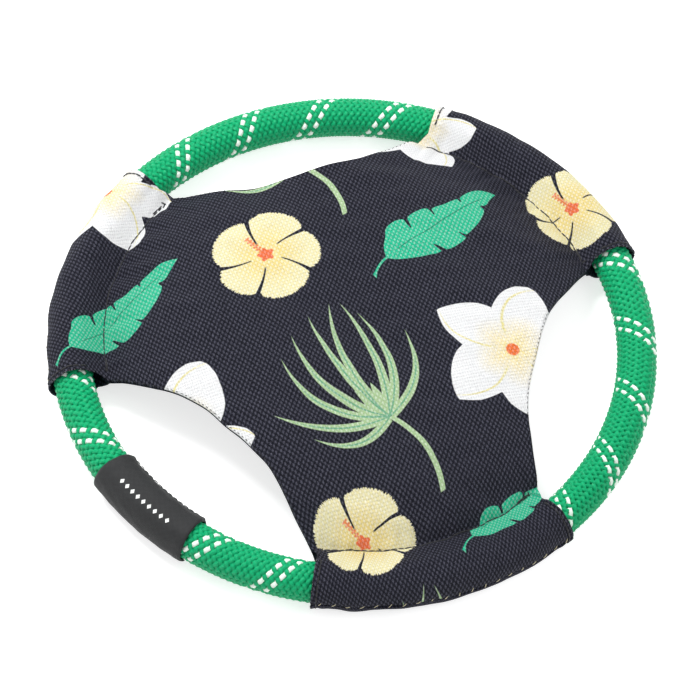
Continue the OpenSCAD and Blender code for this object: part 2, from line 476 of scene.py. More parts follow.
sleeve_faces += [
    (last + j, j, (j + 1) % sleeve_columns, last + (j + 1) % sleeve_columns)
    for j in range(sleeve_columns)
]

coated, coated_tree, coated_shader = material_named("coated_fabric")
sleeve = new_piece("label_sleeve", sleeve_skin, sleeve_faces, coated)


def store(piece, name, values):
    """Stores a number or a vector for each point of a piece."""
    values = np.asarray(values, dtype=np.float32)
    kind, field = ("FLOAT_VECTOR", "vector") if values.ndim == 2 else ("FLOAT", "value")
    piece.data.attributes.new(name, kind, "POINT").data.foreach_set(field, values.ravel())


both = np.concatenate([sleeve_t, sleeve_t[::-1]]) * 22
store(sleeve, "length_mm", np.repeat(both, sleeve_columns, 1).ravel())
store(sleeve, "round_mm", np.repeat(sleeve_s, 2 * sleeve_rows, 0).ravel() * 9.15)

sleeve_x = attribute(coated_tree, "length_mm")
sleeve_y = attribute(coated_tree, "round_mm")
_, coat_grain = object_grain(coated_tree, 900.0, 4.0)
twill = ((sleeve_x * 2.2).math("SINE") * (sleeve_y * 2.2).math("SINE")) * 0.5 + 0.5
ribs = (sleeve_x * 9).math("SINE") * (sleeve_y * 9).math("SINE")
step_x = ((sleeve_x + 1.5) / 3.0).math("FRACT") - 0.5
mark_tall = abs(sleeve_y - 11.4) * 0.55
mark = (0.62 - abs(step_x) * 2.1 - mark_tall).over(0.0, 0.12)
mark = mark * (13.6 - abs(sleeve_x)).over(0.0, 0.1)
mark = mark * (ribs * 0.12 + coat_grain).over(0.3, 0.3)
coat_colour = mix(coated_tree, coat_grain * 0.6 + twill * 0.2, srgb(16, 17, 18), srgb(40, 41, 43))
coat_colour = mix(coated_tree, mark, coat_colour, srgb(232, 234, 232))
coated_shader.inputs["Specular IOR Level"].default_value = 0.35
paint(coated_tree, coated_shader, coat_colour, coat_grain + ribs * 0.35, 0.00008, 0.62)
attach(sleeve, "rope_ring")
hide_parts("label_sleeve")

# Cloth panel: two layers of coarse plain-woven cloth, printed on top and plain beneath. Each is
# cut flat, domed over the middle, and wrapped half way round the rope at its three arms.
cloth_t = 0.0009
half_t = cloth_t / 2
tube_mid = 0.00835 + half_t
seam_r = 0.09855
seam_rise = 0.0024
dome_rise = 0.0225
dome_power = 4
ply_half = 0.0005
arm_half = math.radians(27.2)
window_half = math.radians(32.8)
window_r = 0.072
mouth_r = 0.10365
arms = {"front": math.radians(-90), "right": math.radians(30), "left": math.radians(150)}
windows = {"back": math.radians(90), "right": math.radians(-30), "left": math.radians(-150)}
edge_end = math.radians(2.2)
floor_gap = 0.00002
# Five of the six mouths are gathered back a little along the rope, in metres
gathers = [
    (arms["left"] + arm_half, -0.0042), (arms["front"] - arm_half, 0.0045),
    (arms["front"] + arm_half, -0.0020), (arms["right"] - arm_half, 0.0033),
    (arms["right"] + arm_half, -0.0025),
]


class Layer:
    """One layer's way from its flat cut to its place, along each line out from the middle."""

    def __init__(self, side):
        self.side = side
        r = np.linspace(0, seam_r, 800)
        z = rope_z + seam_rise + (dome_rise - seam_rise) * (1 - (r / seam_r) ** dome_power)
        z = z + side * ply_half
        tip = np.array([seam_r - ring_r, seam_rise + side * ply_half])
        reach = np.hypot(*tip)
        touch = math.atan2(tip[1], tip[0]) - side * math.acos(tube_mid / reach)
        end = edge_end if side > 0 else math.tau - edge_end
        round_at = np.linspace(touch, end, 200)
        self.r = np.concatenate([r, ring_r + tube_mid * np.cos(round_at)])
        self.z = np.concatenate([z, rope_z + tube_mid * np.sin(round_at)])
        steps = np.hypot(np.diff(self.r), np.diff(self.z))
        self.rho = np.concatenate([[0], np.cumsum(steps)])
        self.seam = self.rho[799]
        self.touch = self.rho[800]
        self.out = self.rho[-1]
        slope = np.stack([-np.gradient(self.z, self.rho), np.gradient(self.r, self.rho)])
        self.normal = slope / np.hypot(*slope) * side

    def rho_at(self, r):
        """The flat distance of a point over the dome or the strip from its real distance."""
        return np.interp(r, self.r[:801], self.rho[:801])

    def place(self, flat, lift=0.0):
        """Where points of the flat cut lie, with a height over the middle of the cloth."""
        rho = np.hypot(flat[:, 0], flat[:, 1])
        theta = np.arctan2(flat[:, 1], flat[:, 0])
        r = np.interp(rho, self.rho, self.r)
        z = np.interp(rho, self.rho, self.z)
        dome, tube = relief(self, rho, theta, r)
        tube = tube + lift
        for mouth_at, shift in gathers:
            gap = ((theta - mouth_at + math.pi) % math.tau - math.pi) * ring_r
            hold = np.exp(-((gap / 0.020) ** 2)) * np.clip((r - 0.084) / 0.016, 0, 1)
            theta = theta + hold * shift / ring_r
        n_r = np.interp(rho, self.rho, self.normal[0])
        n_z = np.interp(rho, self.rho, self.normal[1])
        r = r + n_r * tube
        z = z + n_z * tube + dome
        return np.stack([r * np.cos(theta), r * np.sin(theta), z], -1)


def nearest(theta, centres):
    """The angle from each direction to the nearest of some centres."""
    gaps = [(theta - c + math.pi) % math.tau - math.pi for c in centres]
    gaps = np.stack(gaps)
    best = np.abs(gaps).argmin(0)
    return np.take_along_axis(gaps, best[None], 0)[0], best


def window_edge(u):
    return window_r + (mouth_r - window_r) * (0.35 * u ** 2 + 0.65 * u ** 4)


mm = 0.001
wide_waves = waves(11, 0.040)
small_waves = waves(12, 0.017)
fold_waves = waves(13, 0.0095)
edge_waves = waves(14, 0.031)
puff_waves = waves(15, 0.012)


def relief(layer, rho, theta, r):
    """Lift of the dome and swell of the casings, in metres, which both layers share."""
    from_arm, _ = nearest(theta, list(arms.values()))
    from_window, which_window = nearest(theta, list(windows.values()))
    x, y = r * np.cos(theta), r * np.sin(theta)
    seam_gap = np.abs(r - seam_r)
    in_arm = np.clip((arm_half - np.abs(from_arm)) / 0.03, 0, 1)
    arc = theta * ring_r
    folds = fold_waves(arc, 0 * arc)
    u = np.clip(np.abs(from_window) / window_half, 0, 1)
    edge_gap = np.clip(window_edge(u) - r, 0, 1)
    near_window = np.abs(from_window) < window_half
    slack = np.array([1.7, 0.4, 0.4])[which_window] * mm
    dome = 0.50 * mm * wide_waves(x, y) + 0.24 * mm * small_waves(x, y)
    dome = dome + 0.60 * mm * folds * in_arm * np.exp(-np.clip(seam_r - r, 0, 1) / 0.010)
    edge_arc = from_window * window_r
    ripple = edge_waves(edge_arc, 0 * edge_arc)
    dome = dome + near_window * slack * ripple * np.exp(-edge_gap / 0.011)
    sag = np.exp(-(((from_window / window_half - 0.52) / 0.24) ** 2)) * (which_window == 0)
    dome = dome - near_window * 3.4 * mm * sag * np.exp(-((edge_gap / 0.016) ** 2))
    dome = dome * np.clip((seam_r + 0.002 - r) / 0.006, 0, 1)
    swell = (1 - np.exp(-((seam_gap / 0.0015) ** 2))) * np.exp(-seam_gap / 0.010)
    tube = swell * (0.75 + 0.35 * folds) * 0.55 * mm
    outward = np.clip((rho - layer.seam) / 0.004, 0, 1)
    mouth_gap = np.clip((arm_half - np.abs(from_arm)) * ring_r, 0, 1)
    hem = 0.75 * np.exp(-((mouth_gap - 0.0003) / 0.0012) ** 2)
    hem = hem - 0.12 * np.exp(-((mouth_gap - 0.0019) / 0.0005) ** 2)
    hem = hem + 0.40 * np.exp(-((mouth_gap - 0.0042) / 0.0018) ** 2)
    pucker = 0.26 * fold_waves(rho * 1.4, 0.02 + 0 * rho) * np.exp(-mouth_gap / 0.005)
    puff = 0.15 + 0.18 * puff_waves(arc, rho) + 0.16 * folds * np.exp(-(rho - layer.seam) / 0.012)
    tube = tube + outward * np.clip(puff + hem + pucker, -0.12, 1.2) * mm
    return dome, tube


def cut_outline(layer, step=0.0011):
    """The outline of one layer's flat cut, anticlockwise, as points about one step apart."""
    outline = []
    order = [("right", "window"), ("right", "arm"), ("back", "window"), ("left", "arm"),
             ("left", "window"), ("front", "arm")]
    for name, kind in order:
        if kind == "window":
            count = 120
            u = np.linspace(-1, 1, count)[:-1]
            rho = layer.rho_at(window_edge(u))
            angles = windows[name] + u * window_half
        else:
            inner = layer.rho_at(mouth_r)
            rise = np.arange(inner, layer.out, step)
            count = int((layer.out * 2 * arm_half) / step)
            angles = arms[name] + np.concatenate([
                np.full(len(rise), -arm_half), np.linspace(-arm_half, arm_half, count),
                np.full(len(rise) - 1, arm_half),
            ])
            rho = np.concatenate([rise, np.full(count, layer.out), rise[:0:-1]])
        outline.append(np.stack([rho * np.cos(angles), rho * np.sin(angles)], -1))
    return np.concatenate(outline)


def cloth(name, layer, material, spacing=0.0012):
    """A closed cloth of real thickness, from its flat cut."""
    outline = cut_outline(layer)
    half_side = 0.14
    grid_y = np.arange(-half_side, half_side, spacing * math.sqrt(3) / 2)
    points = []
    for i, y in enumerate(grid_y):
        x = np.arange(-half_side, half_side, spacing) + (i % 2) * spacing / 2
        points.append(np.stack([x, np.full(len(x), y)], -1))
    points = np.concatenate(points)
    theta = np.arctan2(points[:, 1], points[:, 0])
    rho = np.hypot(points[:, 0], points[:, 1])
    from_arm, _ = nearest(theta, list(arms.values()))
    from_window, _ = nearest(theta, list(windows.values()))
    edge = np.where(
        np.abs(from_arm) < arm_half,
        layer.out,
        layer.rho_at(window_edge(np.clip(np.abs(from_window) / window_half, 0, 1))),
    )
    points = points[rho < edge]
    clear = np.full(len(points), 1.0)
    for part in np.array_split(outline, 40):
        gap = np.hypot(points[:, None, 0] - part[None, :, 0], points[:, None, 1] - part[None, :, 1])
        clear = np.minimum(clear, gap.min(1))
    points = points[clear > 0.62 * spacing]
    count = len(outline)
    flat = np.concatenate([outline, points])
    ring = [(i, (i + 1) % count) for i in range(count)]
    found = delaunay_2d_cdt([Vector(p) for p in flat], ring, [], 1, 1e-7)
    flat = np.array([(v[0], v[1]) for v in found[0]])
    faces = [tuple(f) for f in found[2]]
    rim = [0] * count
    for i, sources in enumerate(found[3]):
        for s in sources:
            if s < count:
                rim[s] = i
    total = len(flat)
    low, high = layer.place(flat, -half_t), layer.place(flat, half_t)
    high[:, 2] = np.maximum(high[:, 2], floor_gap)
    loop = flat[rim]
    along_rim = np.roll(loop, -1, 0) - np.roll(loop, 1, 0)
    outward = np.stack([along_rim[:, 1], -along_rim[:, 0]], -1)
    outward = outward / np.hypot(*outward.T)[:, None]
    middle = layer.place(loop + outward * 0.0003)
    middle[:, 2] = np.maximum(middle[:, 2], floor_gap)
    skin = np.concatenate([high, low, middle])
    if layer.side < 0:
        faces = [f[::-1] for f in faces]
    shell = faces + [tuple(total + v for v in f[::-1]) for f in faces]
    for i in range(count):
        j = (i + 1) % count
        a, b, m, n = rim[i], rim[j], 2 * total + i, 2 * total + j
        band = [(a, m, n, b), (m, total + a, total + b, n)]
        shell += band if layer.side > 0 else [f[::-1] for f in band]
    piece = new_piece(name, skin, shell, material)
    cut = np.concatenate([flat, flat, loop])
    cut_angle = np.arctan2(cut[:, 1], cut[:, 0])
    cut_rho = np.hypot(cut[:, 0], cut[:, 1])
    # The front seam takes up a tuck of cloth that grows towards its right end
    toward_right = np.clip((cut_angle - arms["front"]) / arm_half, 0, 1)
    in_front = (np.abs(cut_angle - arms["front"]) <= arm_half + 0.001) & (cut_rho > layer.seam)
    tucked_rho = cut_rho + in_front * (0.0025 + 0.0070 * toward_right)
    tucked_angle = cut_angle + in_front * toward_right * math.radians(2.2)
    tucked = [tucked_rho * np.cos(tucked_angle), tucked_rho * np.sin(tucked_angle), 0 * cut_rho]
    store(piece, "cut", np.stack(tucked, -1))
    from_arm, _ = nearest(cut_angle, list(arms.values()))
    mouth_gap = np.abs(arm_half - np.abs(from_arm)) * ring_r / mm
    store(piece, "mouth_mm", np.where(cut_rho > layer.seam, mouth_gap, 20))
    ahead = np.roll(loop, -1, 0)
    area = 0.5 * abs(np.sum(loop[:, 0] * ahead[:, 1] - loop[:, 1] * ahead[:, 0]))
    width, length = np.ptp(loop[:, 0]), np.ptp(loop[:, 1])
    return piece, (float(width), float(length)), float(area)


def shader_group(name, inputs, outputs):
    """An empty shader group with named sockets, its inputs by name, and its end node."""
    group = bpy.data.node_groups.new(name, "ShaderNodeTree")
    for label, kind in inputs:
        group.interface.new_socket(label, in_out="INPUT", socket_type="NodeSocket" + kind)
    for label, kind in outputs:
        group.interface.new_socket(label, in_out="OUTPUT", socket_type="NodeSocket" + kind)
    entry = group.nodes.new("NodeGroupInput")
    return (group, {s.name: Wire(group, s) for s in entry.outputs if s.name},
            group.nodes.new("NodeGroupOutput"))


def place_group(tree, group, **values):
    """Places a group in a tree, with its inputs set or wired, and returns its outputs."""
    node = tree.nodes.new("ShaderNodeGroup")
    node.node_tree = group
    for label, value in values.items():
        socket = node.inputs[label]
        if isinstance(value, Wire):
            tree.links.new(value.socket, socket)
        else:
            socket.default_value = value
    return {s.name: Wire(tree, s) for s in node.outputs}


weave, weave_in, weave_out = shader_group(
    "plain_weave", [("Cut", "Vector"), ("Warp", "Float"), ("Weft", "Float")],
    [("Height", "Float"), ("Float", "Float"), ("Grain", "Float")],
)
warp_noise = join(weave, "ShaderNodeTexNoise", weave_in["Cut"], None, 0.09, 1.0, output=1)
warp_noise = warp_noise.vector("SUBTRACT", (0.5, 0.5, 0.5)).vector("MULTIPLY", (1.6, 1.6, 0))
weave_xyz = join(weave, "ShaderNodeSeparateXYZ", weave_in["Cut"].vector("ADD", warp_noise))
weave_x = weave_xyz / weave_in["Warp"]
weave_y = weave_xyz.part("Y") / weave_in["Weft"]
odd = ((weave_x.math("FLOOR") + weave_y.math("FLOOR")) * 0.5).math("FRACT") * 4 - 1
hill_x = ((weave_x.math("FRACT") - 0.5) * math.pi).math("COSINE")
hill_y = ((weave_y.math("FRACT") - 0.5) * math.pi).math("COSINE")
warp_height = hill_x + odd * hill_y * 0.5
weft_height = hill_y - odd * hill_x * 0.5
weave_height = warp_height.math("MAXIMUM", weft_height)
is_warp = (warp_height - weft_height).over(0.0, 0.3)
strand_grain = join(weave, "ShaderNodeTexNoise", weave_in["Cut"], None, 2.6, 2.0)
weave.links.new(weave_height.socket, weave_out.inputs["Height"])
weave.links.new(is_warp.socket, weave_out.inputs["Float"])
weave.links.new(strand_grain.socket, weave_out.inputs["Grain"])
ground_dark = srgb(6, 7, 13)
ground_light = srgb(62, 63, 82)


def weave_on(tree):
    """Places the weave in a cloth's material; returns the cut in millimetres and the weave."""
    cut = attribute(tree, "cut", output=1).vector("MULTIPLY", (1000, 1000, 1000))
    return cut, place_group(tree, weave, Cut=cut, Warp=0.98, Weft=1.39)


backing, backing_tree, backing_shader = material_named("backing_cloth")
_, backing_weave = weave_on(backing_tree)


def ground_colour_sheen_and_shade(tree, threads):
    """Near-black navy yarn, with painted highlights on its warp floats and thread crests, painted
    shade in the gaps between threads, and random grain.
    """
    tone = threads["Float"] * threads["Height"] * threads["Height"] * 0.55
    tone = tone + threads["Height"] * 0.12 + threads["Grain"] * 0.3 - 0.17
    return mix(tree, tone, ground_dark, ground_light)


backing_colour = ground_colour_sheen_and_shade(backing_tree, backing_weave)
backing_shader.inputs["Specular IOR Level"].default_value = 0.1
backing_height = backing_weave["Height"] + backing_weave["Grain"] * 0.2
paint(backing_tree, backing_shader, backing_colour, backing_height, 0.0003, 0.7)

under = Layer(-1)
backing_piece, backing_flat, backing_area = cloth("bottom_panel", under, backing)
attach(backing_piece, "panel")
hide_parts("bottom_panel")

# Printed cloth: the top layer, printed all over with a repeat of yellow hibiscus, white plumeria,
# split leaves and palm fronds on near-black navy.
printed, printed_tree, printed_shader = material_named("printed_cloth")
cut_mm, print_weave = weave_on(printed_tree)
repeat = (134.5, 130.3)


def motif_at(tree, centre):
    """Distances right of and above the nearest copy of a motif's centre, in millimetres."""
    moved = cut_mm.vector("SUBTRACT", (*centre, 0))
    half = (repeat[0] / 2, repeat[1] / 2, 1)
    local = moved.vector("WRAP", half, tuple(-h for h in half))
    xyz = join(tree, "ShaderNodeSeparateXYZ", local)
    return local, xyz, xyz.part("Y")


def petals(tree, local_x, local_y, notches):
    """Where a point is round a flower of five petals: the petal's number and share, from 0."""
    first = notches[0]
    turn = (local_y.math("ARCTAN2", local_x) - math.radians(first)) / math.tau
    turn = (turn + 1).math("FRACT")
    ends = [((n - first) / 360, i / 5) for i, n in enumerate(notches)] + [(1.0, 1.0)]
    return turn, curve_through(tree, turn, ends)


def tint(share, first, second):
    return mix(printed_tree, share, first, second)


ground = print_and_painted_light = ground_colour_sheen_and_shade(printed_tree, print_weave)

leaflet, leaf_in, leaf_out = shader_group(
    "leaflet",
    [("Point", "Vector"), ("Base", "Vector"), ("Along", "Vector"), ("Side", "Vector"),
     ("Bow", "Float"), ("Width", "Float"), ("Taper", "Float")],
    [("Cover", "Float"), ("Rib", "Float")],
)
from_base = leaf_in["Point"].vector("SUBTRACT", leaf_in["Base"])
share_along = from_base.vector("DOT_PRODUCT", leaf_in["Along"])
off_side = from_base.vector("DOT_PRODUCT", leaf_in["Side"])
middle_line = leaf_in["Bow"] * 4 * share_along * (1 - share_along)
off_middle = abs(off_side - middle_line)
inside = share_along.math("MAXIMUM", 0.0).math("MINIMUM", 1.0)
narrowing = (1 - inside).math("POWER", leaf_in["Taper"])
blade = leaf_in["Width"] * narrowing * (inside * 0.3 + 1.0)
within = share_along.over(0.0, 0.02) * (1 - share_along).over(0.0, 0.02)
cover = (blade - off_middle).over(0.0, 0.3) * within
rib = (0.34 - off_middle).over(0.0, 0.25) * within * (0.72 - share_along).over(0.0, 0.3)
leaflet.links.new(cover.socket, leaf_out.inputs["Cover"])
leaflet.links.new(rib.socket, leaf_out.inputs["Rib"])

frond_middle = (-12, -38)
frond_base = np.array([-2.5, -51.5])
frond_tips = [
    ((-33.0, -53.0), 6.5), ((-44.9, -39.2), 5.0), ((-35.4, -16.1), 8.5), ((-28.8, -7.4), 7.0),
    ((-19.8, 0.1), 3.6), ((-10.1, 4.3), 5.5), ((-5.8, 3.1), -4.1), ((-0.5, -2.7), -6.6),
    ((14.6, -15.7), -6.9), ((9.0, -85.2), 4.5),
]
web_tips = [((-17.5, -46.5), 0.0), ((-12.5, -37.5), 0.0), ((-5.5, -35.5), 0.0)]
frond_local, _, _ = motif_at(printed_tree, frond_middle)
frond_cover = frond_rib = None
for tip, bow in web_tips + frond_tips:
    way = np.array(tip) - frond_base
    long = float(np.hypot(*way))
    way = way / long
    stem = tip == frond_tips[-1][0]
    web = bow == 0.0
    here = place_group(
        printed_tree, leaflet, Point=frond_local,
        Base=(*(frond_base - frond_middle), 0.0), Along=(*(way / long), 0.0),
        Side=(-way[1], way[0], 0.0), Bow=bow, Width=1.0 if stem else 3.2 if web else 2.25,
        Taper=0.04 if stem else 0.85,
    )
    if frond_cover is None:
        frond_cover, frond_rib = here["Cover"], here["Rib"]
    else:
        frond_cover = frond_cover.math("MAXIMUM", here["Cover"])
        frond_rib = frond_rib if stem or web else frond_rib.math("MAXIMUM", here["Rib"])
frond_tone = tint(print_weave["Grain"], srgb(152, 188, 132), srgb(188, 216, 164))
frond_tone = tint(frond_rib * 0.8, frond_tone, srgb(84, 166, 132))
print_and_painted_light = tint(frond_cover, print_and_painted_light, frond_tone)

leaf_base = np.array([18.1, 19.3])
leaf_tilt = math.radians(25.3)
leaf_way = np.array([math.cos(leaf_tilt), math.sin(leaf_tilt)])
leaf_middle = leaf_base + leaf_way * 28
leaf_long = 62
leaf_local, _, _ = motif_at(printed_tree, tuple(leaf_middle))
leaf_along = leaf_local.vector("DOT_PRODUCT", (*leaf_way, 0)) + 28
leaf_side = leaf_local.vector("DOT_PRODUCT", (-leaf_way[1], leaf_way[0], 0))
upper = [(0, 0), (2, 4.6), (5, 7.8), (10.5, 11.6), (16.2, 9.9), (17, 4.8), (18, 9.4), (22, 9.9),
         (27, 9.2), (28.6, 7.6), (29, 3.6), (30, 7.2), (36, 6.0), (42.6, 4.9), (43, 2.6),
         (44, 4.6), (48, 5.2), (54, 4.4), (58.5, 2.4), (62, 0)]
lower = [(0, 0), (2, 3.4), (6.6, 7.2), (12, 9.8), (17, 11.3), (17.3, 7.0), (19, 12.0),
         (22.6, 12.9), (29.5, 12.2), (29.9, 8.2), (31, 11.2), (36, 10.6), (42.5, 8.5),
         (47.6, 5.6), (48.6, 3.0), (50, 3.7), (55, 2.2), (59, 0.9), (62, 0)]
leaf_share = leaf_along / leaf_long
leaf_reach = abs(leaf_side) * 0.22
above_share = (leaf_along - leaf_reach) / leaf_long
upper_width, lower_width = (
    curve_through(
        printed_tree, above_share, [(a / leaf_long, w / 15) for a, w in sorted(lobes)],
        "AUTO_CLAMPED",
    ) * 15
    for lobes in (upper, lower)
)
is_upper = leaf_side.over(0.0, 0.02)
leaf_width = lower_width + is_upper * (upper_width - lower_width)
leaf_cover = (leaf_width - abs(leaf_side)).over(0.0, 0.25)
leaf_cover = leaf_cover * leaf_share.over(0.0, 0.005) * (1 - leaf_share).over(0.0, 0.005)
stalk_line = leaf_along * leaf_along * -0.0417
stalk_width = 0.5 + (leaf_along * -1 - 7.5).math("MAXIMUM", 0.0) * 0.28
stalk = (stalk_width - abs(leaf_side - stalk_line)).over(0.0, 0.25)
stalk = stalk * (1 - leaf_along).over(0.0, 0.3) * (leaf_along + 9.6).over(0.0, 0.3)
vein = (0.26 - abs(leaf_side + (leaf_share - 0.5) * 0.6)).over(0.0, 0.3)
vein = vein * (0.86 - leaf_share).over(0.0, 0.1) * leaf_share.over(0.1, 0.05)
side_vein = ((leaf_along - abs(leaf_side) * 0.75) / 5.2).math("FRACT") - 0.5
side_vein = (0.035 - abs(side_vein)).over(0.0, 0.05) * 0.28
leaf_tone = tint(print_weave["Grain"], srgb(0, 172, 128), srgb(14, 208, 160))
leaf_tone = tint(vein.math("MAXIMUM", side_vein) * 0.75, leaf_tone, srgb(6, 110, 84))
print_and_painted_light = tint(leaf_cover.math("MAXIMUM", stalk), print_and_painted_light, leaf_tone)

plum_notches = [97, 166, 240, 306, 355]
_, plum_x, plum_y = motif_at(printed_tree, (53.5, -33.3))
plum_far = (plum_x * plum_x + plum_y * plum_y).math("SQRT")
plum_turn, plum_phase = petals(printed_tree, plum_x, plum_y, plum_notches)
rim_points = [
    (97, 20), (107, 23.8), (116, 26.8), (126, 30), (136, 33.4), (147, 28.6), (157, 23.6),
    (166, 19.9), (172, 22.4), (179, 24.5), (190, 27.5), (202, 30.7), (212, 32.9), (225, 27.8),
    (233, 23.6), (240, 20.2), (250, 24.1), (266, 28.3), (275, 30.4), (285, 32.4), (295, 28),
    (306, 20), (316, 24.3), (327, 27.4), (338, 29), (345, 25.5), (350, 21), (355, 14.6),
    (365, 17.5), (376, 20.4), (388, 23.2), (398, 25.8), (406, 28.8), (414, 31.3), (420, 31.8),
    (430, 30.2), (439, 27.3), (448, 23.6), (457, 20),
]
plum_rim = curve_through(
    printed_tree, plum_turn, [((a - 97) / 360, far / 40) for a, far in rim_points]) * 40
plum_cover = (plum_rim - plum_far).over(0.0, 0.3)
plum_share = (plum_phase * 5).math("FRACT")
line_share = 0.97 - ((plum_far - 8) / 25).math("MAXIMUM", 0.0).math("POWER", 1.7) * 0.42
line_gap = abs(plum_share - line_share) * plum_far * 1.25
line = (0.42 - line_gap).over(0.0, 0.3) * plum_far.over(8.0, 3.0) * (30 - plum_far).over(0.0, 8.0)
glow_noise = join(printed_tree, "ShaderNodeTexNoise", cut_mm, None, 0.35, 2.0)
glow_far = plum_far + (glow_noise - 0.5) * 7 + abs(plum_share - 0.5) * 6
glow = join(printed_tree, "ShaderNodeMapRange", glow_far, 3.0, 18.0, 0.8, 0.0)
plum_tone = tint(print_weave["Grain"], srgb(236, 238, 240), srgb(254, 254, 254))
plum_tone = tint(glow, plum_tone, srgb(254, 226, 112))
plum_tone = tint(line * 0.75, plum_tone, srgb(238, 224, 110))
plum_tone = tint((2.7 - plum_far).over(0.0, 0.5), plum_tone, srgb(244, 116, 44))
print_and_painted_light = tint(plum_cover, print_and_painted_light, plum_tone)

hib_notches = [23, 98, 184, 244, 320]
_, hib_x, hib_y = motif_at(printed_tree, (-27.0, 34.0))
hib_far = (hib_x * hib_x + hib_y * hib_y).math("SQRT")
hib_turn, hib_phase = petals(printed_tree, hib_x, hib_y, hib_notches)
hib_share = ((hib_phase + hib_far * 0.0018) * 5 + 4.83).math("FRACT")
hib_edge = abs(hib_share - 0.5) * 2
frill = join(printed_tree, "ShaderNodeTexNoise",
             join(printed_tree, "ShaderNodeCombineXYZ", (hib_turn * math.tau).math("COSINE") * 3.4,
                  (hib_turn * math.tau).math("SINE") * 3.4, 0.0), None, 1.0, 0.6)
scallop = ((hib_turn * 24 + frill * 4) * math.pi).math("SINE").math("ABSOLUTE")
hib_rim = 21.0 - hib_edge.math("POWER", 3.0) * 3.5 + scallop * 0.8
hib_gap = (1 - hib_edge) * hib_far * 0.62
wide_gap = (hib_far - 6).math("MAXIMUM", 0.0).math("POWER", 2.0) * 0.0034
gap_line = (hib_gap - wide_gap).over(0.32, 0.15)
gap_line = gap_line.math("MAXIMUM", (6.5 - hib_far).over(0.0, 1.0))
hib_cover = (hib_rim - hib_far).over(0.0, 0.3) * gap_line
streak = join(printed_tree, "ShaderNodeTexNoise",
              join(printed_tree, "ShaderNodeCombineXYZ", hib_turn * 90, hib_far * 0.12, 0.0),
              None, 1.0, 2.0)
warm_far = hib_far + (streak - 0.5) * 9 + (1 - hib_edge) * -1.5
warm = join(printed_tree, "ShaderNodeMapRange", warm_far, 4.0, 16.0, 0.7, 0.0)
hib_tone = tint(streak, srgb(238, 226, 158), srgb(250, 243, 196))
hib_tone = tint(warm, hib_tone, srgb(246, 214, 100))
hub = 2.9 + (hib_turn * math.tau * 5).math("COSINE") * 0.55
hub_mask = (hub - hib_far).over(0.0, 0.4)
halo = (0.5 - abs(hib_far - 4.0)).over(0.0, 1.2) * 0.25
stamen_way = math.radians(117)
stamen_along = hib_x * math.cos(stamen_way) + hib_y * math.sin(stamen_way)
stamen_side = hib_y * math.cos(stamen_way) - hib_x * math.sin(stamen_way)
spike = (0.4 - abs(stamen_side)).over(0.0, 0.3)
dots = ((stamen_along / 1.7).math("FRACT") - 0.5) * 1.7
dot_side = abs(stamen_side) - 0.75
dot = (0.55 - (dots * dots + dot_side * dot_side).math("SQRT")).over(0.0, 0.25)
stamen = spike.math("MAXIMUM", dot) * stamen_along.over(2.0, 0.3)
stamen = stamen * (11.4 - stamen_along).over(0, 0.3)
stamen = stamen * (abs(stamen_side) * -1 + 1.6).over(0.0, 0.1)
hib_tone = tint(halo, hib_tone, srgb(250, 240, 200))
hib_tone = tint(hub_mask.math("MAXIMUM", stamen * 0.85), hib_tone, srgb(242, 112, 58))
print_and_painted_light = tint(hib_cover, print_and_painted_light, hib_tone)

# Between the threads the print is darkened toward the ground, as painted shade in the hollows, and
# along the folded mouths it has rubbed off to white
hollow_shade = join(printed_tree, "ShaderNodeMapRange", print_weave["Height"], 0.35, 0.95, 0.30, 0.0)
print_and_painted_light = tint(hollow_shade, print_and_painted_light, ground)
# Painted highlight: warp-float crests are lightened toward white, more where the print is light
float_highlight = print_weave["Float"] * print_weave["Height"] * print_weave["Height"] * 0.4
float_highlight = float_highlight * (print_and_painted_light + 0.01)
print_and_painted_light = tint(float_highlight, print_and_painted_light, srgb(255, 255, 255))
rub_noise = join(printed_tree, "ShaderNodeTexNoise", cut_mm, None, 1.6, 3.0)
near_mouth = join(printed_tree, "ShaderNodeMapRange", attribute(printed_tree, "mouth_mm"),
                  0.0, 1.0, 0.30, 0.0)
rubbed = (rub_noise + near_mouth).over(0.93, 0.06) * print_weave["Height"].over(0.8, 0.2)
print_and_painted_light = tint(rubbed, print_and_painted_light, srgb(214, 214, 210))
printed_shader.inputs["Specular IOR Level"].default_value = 0.1
print_height = print_weave["Height"] + print_weave["Grain"] * 0.2
paint(printed_tree, printed_shader, print_and_painted_light, print_height, 0.0003, 0.7)

top = Layer(1)
top_piece, top_flat, top_area = cloth("top_panel", top, printed)
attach(top_piece, "panel")
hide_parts("top_panel")

# Stitches: twisted polyester thread, black along the casings' inner seams, round their mouths and
# in small dots along the windows' edges. Each stitch is a short thread that dives at both ends.
stitches, into = geometry_tree("stitch_row", [
    ("Stitch Length", "Float"), ("Thread", "Float"), ("Pitch", "Float"), ("Arch", "Float"),
    ("Slant", "Float"), ("Sway", "Float"), ("Seed", "Int"), ("Material", "Material"),
])
row = join(stitches, "GeometryNodeMeshToCurve", into["Geometry"], True)
row = join(stitches, "GeometryNodeResampleCurve", row, True, into["Pitch"], mode="LENGTH")
half_stitch = into["Stitch Length"] * 0.5
start = join(stitches, "ShaderNodeCombineXYZ", half_stitch * -1, 0.0, into["Thread"] * -0.2)
crown = join(stitches, "ShaderNodeCombineXYZ", 0.0, 0.0, into["Arch"])
end = join(stitches, "ShaderNodeCombineXYZ", half_stitch, 0.0, into["Thread"] * -0.2)
bow = join(stitches, "GeometryNodeCurveQuadraticBezier", 6, start, crown, end)
thread_end = join(stitches, "GeometryNodeSplineParameter") * 2 - 1
taper = 1 - (thread_end * thread_end).math("POWER", 2.0) * 0.5
thread_ring = join(stitches, "GeometryNodeCurvePrimitiveCircle", 6, into["Thread"] * 0.5)
bean = join(stitches, "GeometryNodeCurveToMesh", bow, thread_ring, taper, True)
